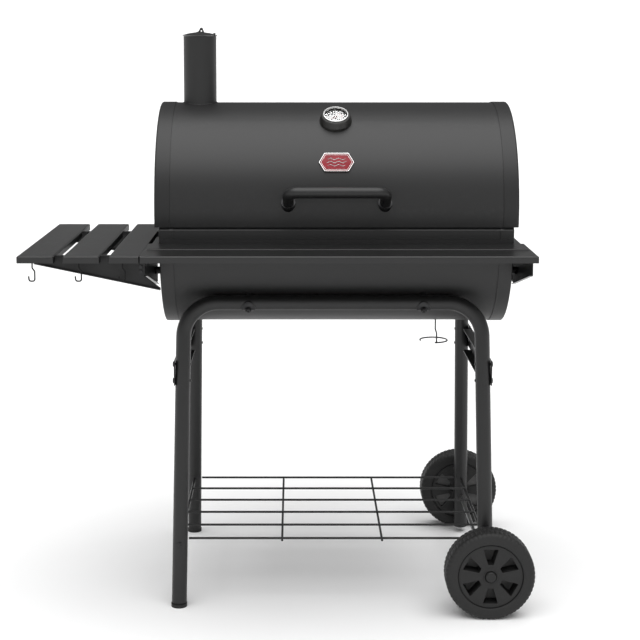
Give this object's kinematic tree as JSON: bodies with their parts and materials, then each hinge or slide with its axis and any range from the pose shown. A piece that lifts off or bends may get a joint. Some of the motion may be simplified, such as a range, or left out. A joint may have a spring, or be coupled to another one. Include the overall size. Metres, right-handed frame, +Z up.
{
  "type": "barrel charcoal grill",
  "caption": "Barrel charcoal grill with hinged hood, short chimney, front shelf, slatted side shelf and wheeled tube legs.",
  "frame": {"origin": "middle of the grill's footprint box, on the floor", "axes": "+X to the right of a person standing at the front shelf, +Y to the hinged back, +Z up"},
  "size_m": [1.0814, 0.7482, 1.2677],
  "materials": {
    "body_paint": "heat-proof satin black paint on rolled sheet steel",
    "hood_paint": "heat-proof satin black paint on rolled sheet steel",
    "shelf_paint": "glossier black enamel on folded sheet steel",
    "frame_paint": "satin black powder coat on steel tube, bar and wire",
    "grate_iron": "matt seasoned cast iron, slightly pitted",
    "bolt_steel": "zinc-plated steel fasteners, axle and probe",
    "wheel_plastic": "moulded black plastic with a fine grain",
    "hub_cap_plastic": "smooth dark grey plastic",
    "gauge_black": "smooth black moulded housing",
    "gauge_trim": "bright turned steel ring",
    "dial_face": "white enamelled dial with plain ticks",
    "needle_red": "red painted pointer",
    "gauge_glass": "clear flat glass",
    "badge_enamel": "deep red enamel with a bright metal border"
  },
  "bodies": {
    "stand": {"body_shell": "body_paint", "body_end_cap_left": "body_paint", "body_end_cap_right": "body_paint", "grate_ledges": "body_paint", "charcoal_grate_ledges": "body_paint", "hinge_leaves_body": "body_paint", "front_shelf": "shelf_paint", "side_shelf_slat_1": "shelf_paint", "side_shelf_slat_2": "shelf_paint", "side_shelf_slat_3": "shelf_paint", "shelf_bracket_left": "shelf_paint", "shelf_bracket_right": "shelf_paint", "side_arm_front": "shelf_paint", "side_arm_rear": "shelf_paint", "front_leg_frame": "frame_paint", "rear_leg_frame": "frame_paint", "leg_brace_left": "frame_paint", "leg_brace_right": "frame_paint", "bottom_rack": "frame_paint", "saddle_spacers": "frame_paint", "barrel_bolts": "bolt_steel", "barrel_nuts": "bolt_steel", "saddle_washers": "bolt_steel", "frame_bolts": "bolt_steel", "small_screws": "bolt_steel", "axle": "bolt_steel", "axle_nuts": "bolt_steel", "hinge_pins": "bolt_steel", "leg_plugs": "wheel_plastic"},
    "hood": {"hood_shell": "hood_paint", "hood_end_cap_left": "hood_paint", "hood_end_cap_right": "hood_paint", "hood_handle": "frame_paint", "handle_spacers": "frame_paint", "handle_screws": "bolt_steel", "chimney_pipe": "hood_paint", "chimney_cap_pin": "bolt_steel", "gauge_housing": "gauge_black", "gauge_bezel": "gauge_trim", "gauge_dial": "dial_face", "gauge_lens": "gauge_glass", "gauge_probe": "bolt_steel", "badge": "badge_enamel", "hinge_leaves_hood": "hood_paint"},
    "chimney_cap": {"chimney_cap": "hood_paint"},
    "gauge_needle": {"gauge_needle": "needle_red"},
    "front_wheel": {"front_wheel": "wheel_plastic", "front_hub_cap": "hub_cap_plastic"},
    "rear_wheel": {"rear_wheel": "wheel_plastic", "rear_hub_cap": "hub_cap_plastic"},
    "hook_1": {"hook_1": "frame_paint"},
    "hook_2": {"hook_2": "frame_paint"},
    "hook_3": {"hook_3": "frame_paint"},
    "grease_ring": {"grease_ring": "frame_paint"},
    "air_damper": {"air_damper": "body_paint"},
    "charcoal_grate": {"charcoal_grate": "grate_iron"},
    "cooking_grate_1": {"cooking_grate_1": "grate_iron"},
    "cooking_grate_2": {"cooking_grate_2": "grate_iron"},
    "cooking_grate_3": {"cooking_grate_3": "grate_iron"}
  },
  "joints": [
    {"name": "hood_hinge", "type": "hinge", "parent": "stand", "child": "hood", "pos_m": [0.11393, 0.2786, 0.848], "axis": [-1, 0, 0], "range_deg": [0, 85]},
    {"name": "chimney_cap_pivot", "type": "hinge", "parent": "hood", "child": "chimney_cap", "pos_m": [-0.15857, 0.0351, 1.2496], "axis": [0, 0, 1], "range_deg": [0, 100]},
    {"name": "gauge_needle_pivot", "type": "hinge", "parent": "hood", "child": "gauge_needle", "pos_m": [0.11393, -0.08922, 1.07044], "axis": [0, 0.5446, -0.8387], "range_deg": [0, 250]},
    {"name": "front_wheel_spin", "type": "hinge", "parent": "stand", "child": "front_wheel", "pos_m": [0.44417, -0.2619, 0.0965], "axis": [0, 1, 0], "continuous": true},
    {"name": "rear_wheel_spin", "type": "hinge", "parent": "stand", "child": "rear_wheel", "pos_m": [0.44417, 0.3421, 0.0965], "axis": [0, 1, 0], "continuous": true},
    {"name": "hook_1_swing", "type": "hinge", "parent": "stand", "child": "hook_1", "pos_m": [-0.50957, -0.3674, 0.796], "axis": [0, 1, 0], "range_deg": [-40, 40]},
    {"name": "hook_2_swing", "type": "hinge", "parent": "stand", "child": "hook_2", "pos_m": [-0.41477, -0.3674, 0.796], "axis": [0, 1, 0], "range_deg": [-40, 40]},
    {"name": "hook_3_swing", "type": "hinge", "parent": "stand", "child": "hook_3", "pos_m": [-0.32606, -0.3674, 0.796], "axis": [0, 1, 0], "range_deg": [-40, 40]},
    {"name": "grease_ring_swivel", "type": "hinge", "parent": "stand", "child": "grease_ring", "pos_m": [0.34824, 0.00886, 0.6], "axis": [0, 0, 1], "range_deg": [-60, 60]},
    {"name": "air_damper_turn", "type": "hinge", "parent": "stand", "child": "air_damper", "pos_m": [0.49794, 0.0401, 0.662], "axis": [1, 0, 0], "range_deg": [0, 45]},
    {"name": "charcoal_grate_lift", "type": "slide", "parent": "stand", "child": "charcoal_grate", "axis": [0, 0, 1], "range_m": [0, 0.06]},
    {"name": "cooking_grate_1_lift", "type": "slide", "parent": "stand", "child": "cooking_grate_1", "axis": [0, 0, 1], "range_m": [0, 0.04]},
    {"name": "cooking_grate_2_lift", "type": "slide", "parent": "stand", "child": "cooking_grate_2", "axis": [0, 0, 1], "range_m": [0, 0.04]},
    {"name": "cooking_grate_3_lift", "type": "slide", "parent": "stand", "child": "cooking_grate_3", "axis": [0, 0, 1], "range_m": [0, 0.04]}
  ]
}
